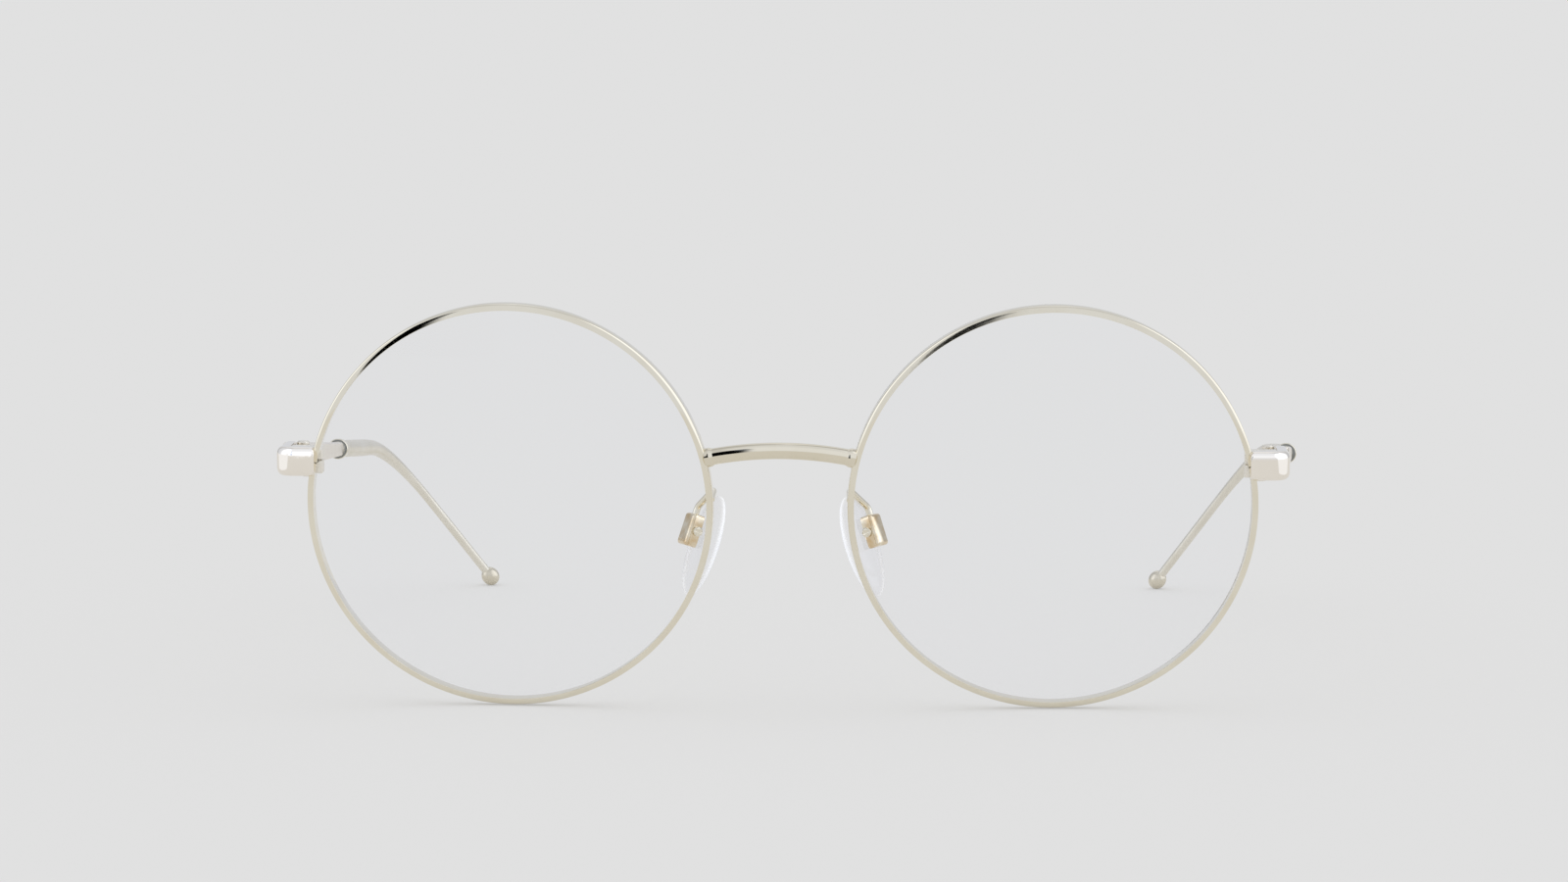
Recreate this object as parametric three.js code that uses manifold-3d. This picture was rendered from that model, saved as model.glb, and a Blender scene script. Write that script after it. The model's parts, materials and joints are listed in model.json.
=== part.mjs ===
// Round wire eyeglasses: a metal front with two lenses, two folding temples and two rocking nose pads.
// Millimetres. +Z is up, +X is the viewer's right, the front faces -Y and the temples run back along +Y.
// The glasses stand on z = 0, on the two rims and the two temple balls.
// Each piece is drawn for the viewer's right-hand side, and the left-hand one is its mirror image.

import * as THREE from 'three';
import { mergeVertices, toCreasedNormals } from 'three/addons/utils/BufferGeometryUtils.js';
import Module from 'manifold-3d';

const wasm = await Module();
wasm.setup();

// Lenses
const LENS_DIAMETER = 51;
const LENS_GAP = 18; // over the nose, from lens edge to lens edge
const LENS_CURVE = 130; // radius of the front surface
const LENS_THICKNESS = 1.5;
const BEVEL_HEIGHT = 0.4; // of the ridge around the lens edge
const BEVEL_WIDTH = 0.9;

// Rims
const RIM_OVERLAP = 0.25; // how far the rim covers the lens edge
const RIM_WIDTH = 0.9;
const RIM_DEPTH = 2;
const RIM_CHAMFER = 0.2;
const GROOVE_WIDTH = 1.1; // at the mouth of the lens groove
const RIM_SPLIT = 0.2; // the slot where the rim opens to take its lens
const FRONT_TILT = 6.25; // degrees, top of the rims towards the viewer as the glasses stand
const FRONT_WRAP = 3.5; // degrees, each lens turned outwards

// Bridge
const BRIDGE_RISE = 6.3; // of its ends above the lens centres
const BRIDGE_ARCH = 1.05; // of its middle above its ends
const BRIDGE_BOW = 0.7; // of its middle in front of its ends
const BRIDGE_HEIGHT = 2.1;
const BRIDGE_DEPTH = 1.7;

// Endpieces, which carry the hinges
const ENDPIECE_RISE = 5.35; // above the lens centres
const ENDPIECE_HEIGHT = 3.7;
const ENDPIECE_WIDTH = 5; // of its block, the inner end of which lies over the rim
const ENDPIECE_REACH = 3.9; // outwards from the rim's widest point
const ENDPIECE_THICKNESS = 2.5;
const ENDPIECE_PROUD = 0.7; // of its face in front of the rim
const ENDPIECE_CORNER = 1.2;
const ENDPIECE_EDGE = 0.35;
const RETURN_LENGTH = 6.2; // of the arm that turns back to the hinge
const SIDE_THICKNESS = 1.6; // of that arm and of the temple bar that follows it

// Rim locks, the two blocks that the rim screw pulls together
const LOCK_HEIGHT = 1.6;
const LOCK_DEPTH = 3;
const LOCK_INSET = 1.8; // inwards from the rim's widest point
const LOCK_SCREW_BACK = 1.55; // of the screw's axis behind the front of the block

// Hinges of three knuckles
const KNUCKLE_RADIUS = 0.95;
const KNUCKLE_HEIGHT = 0.9;
const LEAF_THICKNESS = 0.5;
const LEAF_SPACE = 0.35; // between the rim locks and the front leaf
const TEMPLE_LEAF_LENGTH = 3.8;

// Temples
const BAR_LENGTH = 79.8; // hinge axis to the middle of the collar
const BAR_SPLAY = 2.2; // degrees outwards
const BAR_SLOPE = 5; // degrees down towards the back
const BAR_FRONT_HEIGHT = 3.4;
const BAR_BACK_HEIGHT = 1.9;
const BAR_EDGE = 0.3;
const COLLAR_RADIUS = 1.45;
const COLLAR_LENGTH = 2.4;
const COLLAR_ROUND = 0.5;
const WIRE_RADIUS = 0.62;
const WIRE_LEAD_LENGTH = 4; // straight out of the collar before the wire turns inwards
const WIRE_INWARD = 8.8; // degrees from the bar, behind the collar
const WIRE_STRAIGHT_LENGTH = 29.4; // from that turn to the corner of the ear bend
const DROP_INWARD = 56; // degrees from the bar, below the ear bend
const DROP_ANGLE = 49; // degrees down
const LEAD_BEND = 22; // radius
const EAR_BEND = 17; // radius
const BALL_RADIUS = 1.28;
const BALL_LENGTH = 2.84;

// Nose pads
const PAD_HEIGHT = 13.4;
const PAD_WIDTH = 7.4;
const PAD_THICKNESS = 1.9;
const PAD_EDGE = 0.6;
const PAD_OUT = 1.1; // from the lens edge over the nose to the middle of the pad
const PAD_BACK = 5.4;
const PAD_DROP = 5.8; // below the lens centres
const PAD_SPLAY = 30; // degrees, front edge towards the nose
const PAD_LEAN = 20; // degrees, top towards the nose
const PAD_PIVOT_RISE = 1.4; // of the pad screw above the middle of the pad
const STEM_PLATE = 0.35;
const STEM_WIDTH = 2.4;
const STEM_HEIGHT = 4;
const STEM_NECK = 0.95; // from the plate to the pad screw's axis
const NECK_HEIGHT = 1;
const LUG_RADIUS = 0.62;
const LUG_WIDTH = 1.2;
const ROCK_GAP = 0.42; // lets the pad rock against its box
const BOX_HEIGHT = 4.2;
const BOX_CAVITY_HEIGHT = 2.6;
const BOX_CHEEK = 0.6;
const BOX_WALL = 0.35;
const ARM_RADIUS = 0.45;
const ARM_RISE = 0.8; // of its foot above the lens centre
const ARM_BACK = 2.7;
const ARM_LIFT = 0.6;
const ARM_LEAD = 1; // straight above the box
const ARM_SEAT = 0.6; // depth of the arm's end in the box
const ARM_BEND = 1.1; // radius

// Screws
const RIM_SCREW = 0.5; // radius
const HINGE_SCREW = 0.5; // radius
const PAD_SCREW = 0.32; // radius
const HEAD_OVERHANG = 0.32; // of a head past its shank
const HEAD_HEIGHT = 0.45;
const HEAD_CHAMFER = 0.17;
const SLOT_WIDTH = 0.24;
const SLOT_DEPTH = 0.2;

// Fits
const SOLDER_GAP = 0.05; // between soldered or pressed pieces
const RUNNING_GAP = 0.05; // around screws and between knuckles
const LENS_FIT = 0.06; // between the lens ridge and its groove
const BUTT_GAP = 0.2; // between an endpiece and its temple when open
const LUG_GAP = 0.12; // around the pad's lug inside its box

// Facets
const RING_FACETS = 64;
const ROUND_FACETS = 20;
const WIRE_FACETS = 5; // for each half turn
const BRIDGE_FACETS = 8; // for each half turn
const PAD_FACETS = 14; // for each half turn
const BRIDGE_STEPS = 20;
const EAR_WIRE_STEPS = 44;
const PAD_ARM_STEPS = 24;
const LENS_RINGS = 4;
const BALL_RINGS = 10;
const COLLAR_RINGS = 3; // in each rounded end
const CREASE = 35; // degrees, sharper edges are drawn sharp
const WELD = 1e-5; // vertices closer than this are one
const OVERCUT = 1; // how far a cutting tool passes the face that it cuts

const radians = THREE.MathUtils.degToRad;

function vector(x, y, z) {
  return new THREE.Vector3(x, y, z);
}

// One place: turned about X, then about Y, then about Z, then moved.
function place(position, turnX = 0, turnY = 0, turnZ = 0) {
  const turn = new THREE.Quaternion().setFromEuler(new THREE.Euler(turnX, turnY, turnZ, 'ZYX'));
  return new THREE.Matrix4().compose(position, turn, vector(1, 1, 1));
}

// A place whose local Y axis points along a direction.
function placeAlong(position, direction) {
  const turn = new THREE.Quaternion().setFromUnitVectors(vector(0, 1, 0), direction.clone().normalize());
  return new THREE.Matrix4().compose(position, turn, vector(1, 1, 1));
}

// Shared vertices, with no triangle that has shrunk to a line.
function welded(geometry) {
  const plain = geometry.clone();
  plain.deleteAttribute('normal');
  plain.deleteAttribute('uv');
  const merged = mergeVertices(plain, WELD);
  const index = merged.index.array;
  const kept = [];
  for (let i = 0; i < index.length; i += 3) {
    const [a, b, c] = [index[i], index[i + 1], index[i + 2]];
    if (a !== b && b !== c && c !== a) kept.push(a, b, c);
  }
  merged.setIndex(kept);
  return merged;
}

function toManifold(geometry) {
  const mesh = welded(geometry);
  const vertProperties = new Float32Array(mesh.attributes.position.array);
  const triVerts = new Uint32Array(mesh.index.array);
  return new wasm.Manifold(new wasm.Mesh({ numProp: 3, vertProperties, triVerts }));
}

function toGeometry(manifold) {
  const { vertProperties, triVerts } = manifold.getMesh();
  const geometry = new THREE.BufferGeometry();
  geometry.setAttribute('position', new THREE.BufferAttribute(new Float32Array(vertProperties), 3));
  geometry.setIndex(Array.from(triVerts));
  return geometry;
}

function cut(geometry, ...tools) {
  return toGeometry(tools.reduce((body, tool) => body.subtract(toManifold(tool)), toManifold(geometry)));
}

function join(geometry, ...others) {
  return toGeometry(others.reduce((body, other) => body.add(toManifold(other)), toManifold(geometry)));
}

function mirrored(geometry) {
  const other = welded(geometry);
  other.applyMatrix4(new THREE.Matrix4().makeScale(-1, 1, 1));
  const flipped = [];
  for (let i = 0; i < other.index.count; i += 3) {
    flipped.push(other.index.getX(i), other.index.getX(i + 2), other.index.getX(i + 1));
  }
  other.setIndex(flipped);
  return other;
}

// Shapes

function box(low, high) {
  const size = high.clone().sub(low);
  const middle = low.clone().add(high).multiplyScalar(0.5);
  return new THREE.BoxGeometry(size.x, size.y, size.z).translate(middle.x, middle.y, middle.z);
}

// A round bar along Y from one height to another.
function rod(radius, from, to, facets = ROUND_FACETS) {
  return new THREE.CylinderGeometry(radius, radius, to - from, facets).translate(0, (from + to) / 2, 0);
}

function lathe(points, facets) {
  return new THREE.LatheGeometry(points.map(([radius, along]) => new THREE.Vector2(radius, along)), facets);
}

// A flat shape given thickness about z = 0, with its edges rounded inside its outline.
function slab(shape, thickness, edge, curveSegments = 8) {
  const geometry = new THREE.ExtrudeGeometry(shape, {
    depth: thickness - 2 * edge,
    bevelThickness: edge,
    bevelSize: edge,
    bevelOffset: -edge,
    bevelSegments: 2,
    curveSegments,
  });
  return geometry.translate(0, 0, edge - thickness / 2);
}

// Turns a slab drawn flat in XY to stand in YZ, with its thickness along X.
const standing = new THREE.Matrix4().makeBasis(vector(0, 1, 0), vector(0, 0, 1), vector(1, 0, 0));

// A route through corner points, with each corner rounded to a bend of the given radius.
function bentRoute(points, radii) {
  const route = new THREE.CurvePath();
  let start = points[0];
  for (let i = 1; i < points.length - 1; i += 1) {
    const before = points[i - 1].clone().sub(points[i]).normalize();
    const after = points[i + 1].clone().sub(points[i]).normalize();
    const setback = radii[i - 1] / Math.tan(before.angleTo(after) / 2);
    const enter = points[i].clone().addScaledVector(before, setback);
    const leave = points[i].clone().addScaledVector(after, setback);
    route.add(new THREE.LineCurve3(start, enter));
    route.add(new THREE.QuadraticBezierCurve3(enter, points[i], leave));
    start = leave;
  }
  route.add(new THREE.LineCurve3(start, points[points.length - 1]));
  return route;
}

// A wire of oval section along a route.
function wire(route, halfWidth, halfHeight, steps, curveSegments = WIRE_FACETS) {
  const section = new THREE.Shape().absellipse(0, 0, halfWidth, halfHeight, 0, 2 * Math.PI);
  return new THREE.ExtrudeGeometry(section, { extrudePath: route, steps, curveSegments });
}

// A slotted screw along Y: the head starts at y = 0 and rises, the shank runs down.
function screw(radius, shankLength) {
  const headRadius = radius + HEAD_OVERHANG;
  const profile = [
    [0, -shankLength],
    [radius, -shankLength],
    [radius, 0],
    [headRadius, 0],
    [headRadius, HEAD_HEIGHT - HEAD_CHAMFER],
    [headRadius - HEAD_CHAMFER, HEAD_HEIGHT],
    [0, HEAD_HEIGHT],
  ];
  const slotReach = headRadius + OVERCUT;
  const slot = box(
    vector(-slotReach, HEAD_HEIGHT - SLOT_DEPTH, -SLOT_WIDTH / 2),
    vector(slotReach, HEAD_HEIGHT + OVERCUT, SLOT_WIDTH / 2),
  );
  return cut(lathe(profile, ROUND_FACETS), slot);
}

// Worked-out places on the right-hand side

const tilt = radians(FRONT_TILT);
const wrap = radians(FRONT_WRAP);
const lensRadius = LENS_DIAMETER / 2;
const rimInner = lensRadius - RIM_OVERLAP;
const rimOuter = rimInner + RIM_WIDTH;
const rimMiddle = (rimInner + rimOuter) / 2;
const rimHalf = RIM_DEPTH / 2;
const lensCentre = vector(
  LENS_GAP / 2 + lensRadius,
  0,
  rimOuter * Math.cos(tilt) + (rimHalf - RIM_CHAMFER) * Math.sin(tilt),
);
// Lens frame: local X outwards across the lens, local Y backwards, local Z up.
const lensPlace = place(lensCentre, tilt, 0, wrap);

// A point of the rim from its radius, its height above the lens centre and how far back it lies.
function onRim(radius, height, back, side) {
  const across = side * Math.sqrt(radius ** 2 - height ** 2);
  return vector(across, back, height).applyMatrix4(lensPlace);
}

const rimWidest = onRim(rimOuter, 0, 0, 1).x;
const endpieceZ = lensCentre.z + ENDPIECE_RISE;
const endpieceOuter = rimWidest + ENDPIECE_REACH;
const endpieceInner = endpieceOuter - ENDPIECE_WIDTH;
const endpieceFront = onRim(rimOuter, ENDPIECE_RISE, -rimHalf, 1).y - ENDPIECE_PROUD;
const endpieceBack = endpieceFront + ENDPIECE_THICKNESS;
const returnEnd = endpieceBack + RETURN_LENGTH;
const returnInner = endpieceOuter - SIDE_THICKNESS;

const hingeAxis = vector(
  returnInner - SOLDER_GAP - KNUCKLE_RADIUS,
  returnEnd + BUTT_GAP / 2,
  endpieceZ,
);
// Temple frame: origin on the hinge axis, local Y back along the splayed bar, local Z up.
const templePlace = place(hingeAxis, 0, 0, -radians(BAR_SPLAY));
const barInner = KNUCKLE_RADIUS + SOLDER_GAP;
const barMiddle = barInner + SIDE_THICKNESS / 2;
const barAlong = vector(0, Math.cos(radians(BAR_SLOPE)), -Math.sin(radians(BAR_SLOPE)));
const barUp = vector(0, Math.sin(radians(BAR_SLOPE)), Math.cos(radians(BAR_SLOPE)));
const collarMiddle = vector(barMiddle, 0, 0).addScaledVector(barAlong, BAR_LENGTH);
const collarPlace = place(collarMiddle, -radians(BAR_SLOPE));

// A direction that turns inwards from the bar's own heading and down from level.
function heading(inward, down) {
  const level = Math.cos(radians(down));
  return vector(
    -Math.sin(radians(inward)) * level,
    Math.cos(radians(inward)) * level,
    -Math.sin(radians(down)),
  );
}

const dropHeading = heading(DROP_INWARD, DROP_ANGLE);
const leadCorner = collarMiddle.clone().addScaledVector(barAlong, WIRE_LEAD_LENGTH);
const earCorner = leadCorner.clone().addScaledVector(heading(WIRE_INWARD, BAR_SLOPE), WIRE_STRAIGHT_LENGTH);
const ballRest = Math.hypot(
  (BALL_LENGTH / 2) * Math.sin(radians(DROP_ANGLE)),
  BALL_RADIUS * Math.cos(radians(DROP_ANGLE)),
);
const dropLength = (endpieceZ + earCorner.z - ballRest) / Math.sin(radians(DROP_ANGLE));
const ballMiddle = earCorner.clone().addScaledVector(dropHeading, dropLength);

// Pad frame: origin in the middle of the pad, local -X towards the nose, local Z up the pad.
const padPlace = place(
  vector(LENS_GAP / 2 + PAD_OUT, PAD_BACK, lensCentre.z - PAD_DROP),
  0,
  -radians(PAD_LEAN),
  -radians(PAD_SPLAY),
);
const plateFront = PAD_THICKNESS / 2 + SOLDER_GAP;
const plateBack = plateFront + STEM_PLATE;
const padPivot = vector(plateBack + STEM_NECK, 0, PAD_PIVOT_RISE);
const boxFront = plateBack + ROCK_GAP;
const cavityBack = padPivot.x + LUG_RADIUS + LUG_GAP;
const boxBack = cavityBack + BOX_WALL;
const boxMiddle = (boxFront + boxBack) / 2;
const cavityHalfWidth = LUG_WIDTH / 2 + LUG_GAP;
const boxHalfWidth = cavityHalfWidth + BOX_CHEEK;
const boxTop = padPivot.z + BOX_HEIGHT / 2;
const padPivotWorld = padPivot.clone().applyMatrix4(padPlace);

// Cutting tools shared by several pieces

// Everything inside the rim's outer edge, between two depths behind the lens plane.
function rimDisc(depth, from = -4 * RIM_DEPTH) {
  return rod(rimOuter + SOLDER_GAP, from, depth, RING_FACETS).applyMatrix4(lensPlace);
}

// A round hole along Y through a place.
function hole(radius, reach, where) {
  return rod(radius + RUNNING_GAP, -reach, reach).applyMatrix4(where);
}

const upright = place(vector(0, 0, 0), Math.PI / 2);

function uprightAt(position) {
  return new THREE.Matrix4().makeTranslation(position.x, position.y, position.z).multiply(upright);
}

// The pieces, each drawn on the right-hand side

function rim() {
  const profile = [
    [rimOuter - RIM_CHAMFER, -rimHalf],
    [rimOuter, RIM_CHAMFER - rimHalf],
    [rimOuter, rimHalf - RIM_CHAMFER],
    [rimOuter - RIM_CHAMFER, rimHalf],
    [rimInner, rimHalf],
    [rimInner, GROOVE_WIDTH / 2],
    [lensRadius + LENS_FIT, 0],
    [rimInner, -GROOVE_WIDTH / 2],
    [rimInner, -rimHalf],
    [rimOuter - RIM_CHAMFER, -rimHalf],
  ];
  const ring = lathe(profile, RING_FACETS).applyMatrix4(lensPlace);
  const slot = box(
    vector(lensCentre.x, -RIM_DEPTH * 2, endpieceZ - RIM_SPLIT / 2),
    vector(endpieceOuter, RIM_DEPTH * 3, endpieceZ + RIM_SPLIT / 2),
  );
  return cut(ring, slot);
}

function lens() {
  const shoulder = lensRadius - BEVEL_HEIGHT;
  const sag = (radius, curve) => curve - Math.sqrt(curve ** 2 - radius ** 2);
  const front = [];
  const back = [];
  for (let i = 0; i <= LENS_RINGS; i += 1) {
    const radius = (shoulder * i) / LENS_RINGS;
    const backCurve = LENS_CURVE - LENS_THICKNESS;
    front.push([radius, sag(radius, LENS_CURVE) - sag(shoulder, LENS_CURVE) - LENS_THICKNESS / 2]);
    back.push([radius, sag(radius, backCurve) - sag(shoulder, backCurve) + LENS_THICKNESS / 2]);
  }
  const ridge = [
    [shoulder, -BEVEL_WIDTH / 2],
    [lensRadius, 0],
    [shoulder, BEVEL_WIDTH / 2],
  ];
  return lathe([...front, ...ridge, ...back.reverse()], RING_FACETS).applyMatrix4(lensPlace);
}

function bridge() {
  const end = onRim(rimMiddle, BRIDGE_RISE, 0, -1);
  const top = vector(0, end.y - 2 * BRIDGE_BOW, end.z + 2 * BRIDGE_ARCH);
  const route = new THREE.QuadraticBezierCurve3(vector(-end.x, end.y, end.z), top, end);
  const bar = wire(route, BRIDGE_DEPTH / 2, BRIDGE_HEIGHT / 2, BRIDGE_STEPS, BRIDGE_FACETS);
  const disc = rimDisc(4 * RIM_DEPTH);
  return cut(bar, disc, mirrored(disc));
}

function endpiece() {
  const plan = new THREE.Shape();
  plan.moveTo(endpieceInner, endpieceFront);
  plan.lineTo(endpieceOuter - ENDPIECE_CORNER, endpieceFront);
  plan.quadraticCurveTo(endpieceOuter, endpieceFront, endpieceOuter, endpieceFront + ENDPIECE_CORNER);
  plan.lineTo(endpieceOuter, returnEnd);
  plan.lineTo(returnInner, returnEnd);
  plan.lineTo(returnInner, endpieceBack);
  plan.lineTo(endpieceInner, endpieceBack);
  const body = slab(plan, ENDPIECE_HEIGHT, ENDPIECE_EDGE).translate(0, 0, endpieceZ);
  return cut(body, rimDisc(rimHalf + OVERCUT, -rimHalf - SOLDER_GAP));
}

const lockFront = endpieceBack + SOLDER_GAP;
const lockInner = rimWidest - LOCK_INSET;
const lockOuter = returnInner - SOLDER_GAP;
const lockLow = RIM_SPLIT / 2;
const rimScrewAxis = vector((lockInner + lockOuter) / 2, lockFront + LOCK_SCREW_BACK, endpieceZ);

// One block of the pair: side 1 is above the split, -1 below it.
function rimLock(side) {
  const near = endpieceZ + side * lockLow;
  const far = endpieceZ + side * (lockLow + LOCK_HEIGHT);
  const block = box(
    vector(lockInner, lockFront, Math.min(near, far)),
    vector(lockOuter, lockFront + LOCK_DEPTH, Math.max(near, far)),
  );
  const screwHole = hole(RIM_SCREW, LOCK_HEIGHT * 2, uprightAt(rimScrewAxis));
  return cut(block, rimDisc(rimHalf + SOLDER_GAP), screwHole);
}

function rimScrew() {
  const underside = endpieceZ - lockLow - LOCK_HEIGHT - RUNNING_GAP;
  const length = 2 * (lockLow + LOCK_HEIGHT);
  const headDown = place(vector(rimScrewAxis.x, rimScrewAxis.y, underside), -Math.PI / 2);
  return screw(RIM_SCREW, length).applyMatrix4(headDown);
}

const knuckleStep = KNUCKLE_HEIGHT + RUNNING_GAP;
const hingeHalf = KNUCKLE_HEIGHT / 2 + knuckleStep;

// A knuckle of the hinge, counted upwards from the middle one.
function knuckle(step) {
  const middle = hingeAxis.z + step * knuckleStep;
  const where = uprightAt(vector(hingeAxis.x, hingeAxis.y, middle));
  return rod(KNUCKLE_RADIUS, -KNUCKLE_HEIGHT / 2, KNUCKLE_HEIGHT / 2).applyMatrix4(where);
}

// Room for the other leaf's knuckle to turn in.
function knuckleRoom(step) {
  const middle = hingeAxis.z + step * knuckleStep;
  const half = KNUCKLE_HEIGHT / 2 + RUNNING_GAP;
  const where = uprightAt(vector(hingeAxis.x, hingeAxis.y, middle));
  return rod(KNUCKLE_RADIUS + 2 * RUNNING_GAP, -half, half).applyMatrix4(where);
}

function frontLeaf() {
  const outer = returnInner - SOLDER_GAP;
  const plate = box(
    vector(outer - LEAF_THICKNESS, lockFront + LOCK_DEPTH + LEAF_SPACE, hingeAxis.z - hingeHalf),
    vector(outer, returnEnd, hingeAxis.z + hingeHalf),
  );
  const pinHole = hole(HINGE_SCREW, 2 * hingeHalf, uprightAt(hingeAxis));
  return cut(join(cut(plate, knuckleRoom(0)), knuckle(1), knuckle(-1)), pinHole);
}

function templeLeaf() {
  const inner = barInner - SOLDER_GAP - LEAF_THICKNESS;
  const outer = barInner - SOLDER_GAP;
  const plateStart = KNUCKLE_RADIUS + BUTT_GAP;
  const plate = box(
    vector(inner, plateStart, -hingeHalf),
    vector(outer, plateStart + TEMPLE_LEAF_LENGTH, hingeHalf),
  );
  const tongue = box(
    vector(inner, 0, -KNUCKLE_HEIGHT / 2),
    vector(outer, plateStart + LEAF_THICKNESS, KNUCKLE_HEIGHT / 2),
  );
  const leaf = join(plate, tongue).applyMatrix4(templePlace);
  const pinHole = hole(HINGE_SCREW, 2 * hingeHalf, uprightAt(hingeAxis));
  return cut(join(leaf, knuckle(0)), pinHole);
}

function hingeScrew() {
  const seat = place(vector(hingeAxis.x, hingeAxis.y, hingeAxis.z + hingeHalf + RUNNING_GAP), Math.PI / 2);
  return screw(HINGE_SCREW, 2 * hingeHalf).applyMatrix4(seat);
}

function templeBar() {
  const start = BUTT_GAP / 2;
  const endMiddle = barAlong.clone().multiplyScalar(BAR_LENGTH - COLLAR_LENGTH / 2 - SOLDER_GAP);
  const endTop = endMiddle.clone().addScaledVector(barUp, BAR_BACK_HEIGHT / 2);
  const endFoot = endMiddle.clone().addScaledVector(barUp, -BAR_BACK_HEIGHT / 2);
  const profile = new THREE.Shape();
  profile.moveTo(start, -BAR_FRONT_HEIGHT / 2);
  profile.lineTo(endFoot.y, endFoot.z);
  profile.lineTo(endTop.y, endTop.z);
  profile.lineTo(start, BAR_FRONT_HEIGHT / 2);
  const bar = slab(profile, SIDE_THICKNESS, BAR_EDGE).applyMatrix4(standing).translate(barMiddle, 0, 0);
  const spigot = rod(WIRE_RADIUS, -COLLAR_LENGTH, -SOLDER_GAP).applyMatrix4(collarPlace);
  return join(bar, spigot).applyMatrix4(templePlace);
}

function collar() {
  const half = COLLAR_LENGTH / 2;
  const bore = WIRE_RADIUS + SOLDER_GAP;
  const rounded = [];
  for (let i = 0; i <= COLLAR_RINGS; i += 1) {
    const angle = (Math.PI / 2) * (i / COLLAR_RINGS);
    const radius = COLLAR_RADIUS - COLLAR_ROUND * (1 - Math.sin(angle));
    rounded.push([radius, COLLAR_ROUND * (1 - Math.cos(angle)) - half]);
  }
  const otherEnd = rounded.map(([radius, along]) => [radius, -along]).reverse();
  const profile = [[bore, -half], ...rounded, ...otherEnd, [bore, half], [bore, -half]];
  return lathe(profile, ROUND_FACETS).applyMatrix4(collarPlace).applyMatrix4(templePlace);
}

function earWire() {
  const start = collarMiddle.clone().addScaledVector(barAlong, SOLDER_GAP);
  const route = bentRoute([start, leadCorner, earCorner, ballMiddle], [LEAD_BEND, EAR_BEND]);
  return wire(route, WIRE_RADIUS, WIRE_RADIUS, EAR_WIRE_STEPS).applyMatrix4(templePlace);
}

function endBall() {
  const profile = [];
  for (let i = 0; i <= BALL_RINGS; i += 1) {
    const angle = (Math.PI * i) / BALL_RINGS - Math.PI / 2;
    profile.push([BALL_RADIUS * Math.cos(angle), (BALL_LENGTH / 2) * Math.sin(angle)]);
  }
  profile[0][0] = 0;
  profile[BALL_RINGS][0] = 0;
  const where = placeAlong(ballMiddle, dropHeading);
  const socket = rod(WIRE_RADIUS + SOLDER_GAP, -BALL_LENGTH, SOLDER_GAP).applyMatrix4(where);
  return cut(lathe(profile, ROUND_FACETS).applyMatrix4(where), socket).applyMatrix4(templePlace);
}

function nosePad() {
  const outline = new THREE.Shape().absellipse(0, 0, PAD_WIDTH / 2, PAD_HEIGHT / 2, 0, 2 * Math.PI);
  return slab(outline, PAD_THICKNESS, PAD_EDGE, PAD_FACETS).applyMatrix4(standing).applyMatrix4(padPlace);
}

function padStem() {
  const plate = box(
    vector(plateFront, -STEM_WIDTH / 2, padPivot.z - STEM_HEIGHT / 2),
    vector(plateBack, STEM_WIDTH / 2, padPivot.z + STEM_HEIGHT / 2),
  );
  const lug = rod(LUG_RADIUS, -LUG_WIDTH / 2, LUG_WIDTH / 2).translate(padPivot.x, 0, padPivot.z);
  const neck = box(
    vector(plateFront, -LUG_WIDTH / 2, padPivot.z - NECK_HEIGHT / 2),
    vector(padPivot.x, LUG_WIDTH / 2, padPivot.z + NECK_HEIGHT / 2),
  );
  const screwHole = hole(PAD_SCREW, LUG_WIDTH, place(padPivot));
  return cut(join(plate, neck, lug), screwHole).applyMatrix4(padPlace);
}

function padBox() {
  const block = box(
    vector(boxFront, -boxHalfWidth, padPivot.z - BOX_HEIGHT / 2),
    vector(boxBack, boxHalfWidth, boxTop),
  );
  const cavity = box(
    vector(boxFront - OVERCUT, -cavityHalfWidth, padPivot.z - BOX_CAVITY_HEIGHT / 2),
    vector(cavityBack, cavityHalfWidth, padPivot.z + BOX_CAVITY_HEIGHT / 2),
  );
  const screwHole = hole(PAD_SCREW, 2 * boxHalfWidth, place(padPivot));
  const armHole = rod(ARM_RADIUS + SOLDER_GAP, -ARM_SEAT - SOLDER_GAP, OVERCUT)
    .applyMatrix4(uprightAt(vector(boxMiddle, 0, boxTop)));
  return cut(block, cavity, screwHole, armHole).applyMatrix4(padPlace);
}

function padScrew() {
  const seat = place(vector(padPivot.x, -boxHalfWidth - RUNNING_GAP, padPivot.z), 0, 0, Math.PI);
  return screw(PAD_SCREW, 2 * boxHalfWidth).applyMatrix4(seat).applyMatrix4(padPlace);
}

function padArm() {
  const foot = onRim(rimMiddle, ARM_RISE, 0, -1);
  const backOfLoop = onRim(rimMiddle, ARM_RISE + ARM_LIFT, rimHalf + ARM_BACK, -1);
  const aboveBox = vector(boxMiddle, 0, boxTop + ARM_LEAD).applyMatrix4(padPlace);
  const seat = vector(boxMiddle, 0, boxTop - ARM_SEAT).applyMatrix4(padPlace);
  const route = bentRoute([foot, backOfLoop, aboveBox, seat], [ARM_BEND, ARM_BEND]);
  return cut(wire(route, ARM_RADIUS, ARM_RADIUS, PAD_ARM_STEPS), rimDisc(rimHalf + SOLDER_GAP));
}

// Finishes

function gold() {
  return new THREE.MeshStandardMaterial({ color: 0xcdbf9d, metalness: 1, roughness: 0.2 });
}

function lensPlastic() {
  return new THREE.MeshStandardMaterial({
    color: 0xe9f1f1, metalness: 0, roughness: 0.03, transparent: true, opacity: 0.15,
  });
}

function silicone() {
  return new THREE.MeshStandardMaterial({
    color: 0xececef, metalness: 0, roughness: 0.25, transparent: true, opacity: 0.5,
  });
}

function stemPlastic() {
  return new THREE.MeshStandardMaterial({ color: 0xe2e0da, metalness: 0, roughness: 0.35 });
}

// Assembly: one group for each body that moves, placed at its joint

const eyeglasses = new THREE.Group();
eyeglasses.name = 'eyeglasses';

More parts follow.
